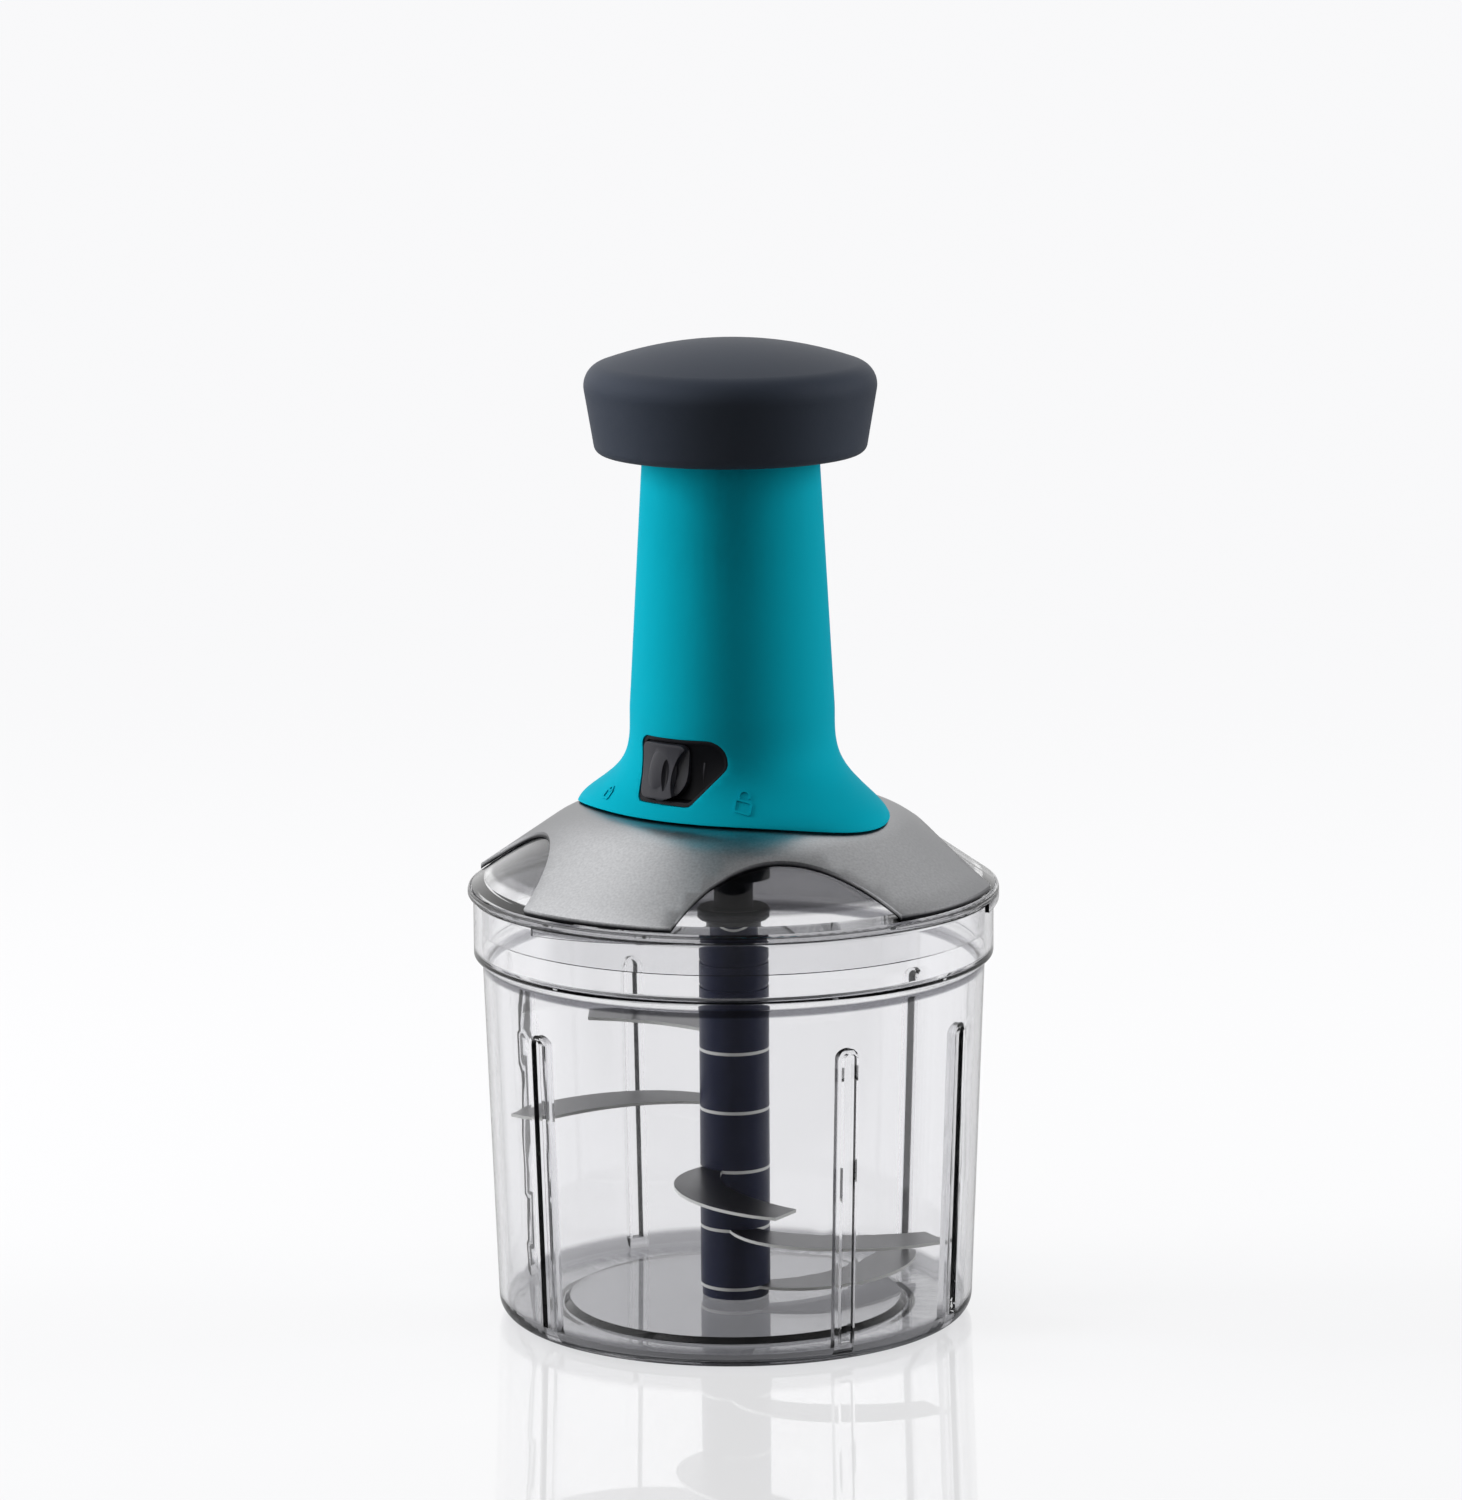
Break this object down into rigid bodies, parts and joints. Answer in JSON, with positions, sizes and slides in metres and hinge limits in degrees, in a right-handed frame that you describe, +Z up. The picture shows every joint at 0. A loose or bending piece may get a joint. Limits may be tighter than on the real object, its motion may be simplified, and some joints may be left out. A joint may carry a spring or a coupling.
{
  "type": "push-down food chopper",
  "caption": "Push-down food chopper with a clear bowl, a stack of curved blades on a centre pin, a domed lid, a waisted column with a sliding lock, and a round palm cap.",
  "frame": {"origin": "centre of the bowl's foot ring, in the plane that it stands on", "axes": "+Z up along the bowl and column axis; -Y towards the front, where the lock button sits 30 degrees to the left; +X to the right seen from the front"},
  "size_m": [0.1348, 0.1348, 0.2496],
  "materials": {
    "clear_plastic": "clear, glossy",
    "navy_plastic": "satin",
    "blade_steel": "polished",
    "pin_steel": "polished",
    "silver_plastic": "satin silver",
    "teal_plastic": "satin gloss",
    "dark_plastic": "satin",
    "light_plastic": "satin",
    "bearing_plastic": "satin",
    "soft_touch_cap": "soft touch",
    "screw_steel": "zinc plated",
    "spring_steel": "drawn wire",
    "rod_metal": "machined"
  },
  "bodies": {
    "bowl": {"bowl": "clear_plastic", "bowl_pin": "pin_steel"},
    "blades": {"blade_core": "navy_plastic", "shaft_bush": "bearing_plastic", "shaft_foot": "navy_plastic", "blade_1": "blade_steel", "blade_2": "blade_steel", "blade_3": "blade_steel", "blade_4": "blade_steel", "blade_5": "blade_steel", "spacer_1": "navy_plastic", "spacer_2": "navy_plastic", "spacer_3": "navy_plastic", "spacer_4": "navy_plastic", "shaft_upper": "navy_plastic"},
    "head": {"lid_cover": "silver_plastic", "lid_body": "clear_plastic", "column": "teal_plastic", "guide_bush": "bearing_plastic", "column_screws": "screw_steel", "hub_housing": "dark_plastic", "hub_bush": "bearing_plastic", "hub_cap": "dark_plastic", "hub_screws": "screw_steel", "lock_tray": "dark_plastic", "lock_detent_spring": "spring_steel"},
    "drive": {"output_coupler": "dark_plastic", "clutch_lower": "bearing_plastic", "clutch_upper": "bearing_plastic", "clutch_spring": "spring_steel", "drive_rod": "rod_metal"},
    "plunger": {"cap_cover": "soft_touch_cap", "cap_core": "dark_plastic", "cap_plate": "dark_plastic", "cap_screws": "screw_steel", "plunger_sleeve": "light_plastic", "nut_tube": "light_plastic", "drive_nut": "bearing_plastic", "return_spring": "spring_steel"},
    "lock": {"lock_ring": "dark_plastic", "lock_button": "dark_plastic"}
  },
  "joints": [
    {"name": "lid_lift", "type": "slide", "parent": "bowl", "child": "head", "axis": [0, 0, 1], "range_m": [0, 0.1]},
    {"name": "plunger_slide", "type": "slide", "parent": "head", "child": "plunger", "axis": [0, 0, 1], "range_m": [0, 0.052], "deforming": ["return_spring"]},
    {"name": "drive_spin", "type": "hinge", "parent": "head", "child": "drive", "pos_m": [0, 0, 0.12], "axis": [0, 0, 1], "range_deg": [0, 694]},
    {"name": "blade_spin", "type": "hinge", "parent": "bowl", "child": "blades", "pos_m": [0, 0, 0.03], "axis": [0, 0, 1], "range_deg": [0, 694]},
    {"name": "lock_turn", "type": "hinge", "parent": "head", "child": "lock", "pos_m": [0, 0, 0.144], "axis": [0, 0, 1], "range_deg": [0, 9]}
  ],
  "couplings": [
    {"joint": "drive_spin", "follows": "plunger_slide", "rad_per_m": 232.71},
    {"joint": "blade_spin", "follows": "plunger_slide", "rad_per_m": 232.71}
  ]
}
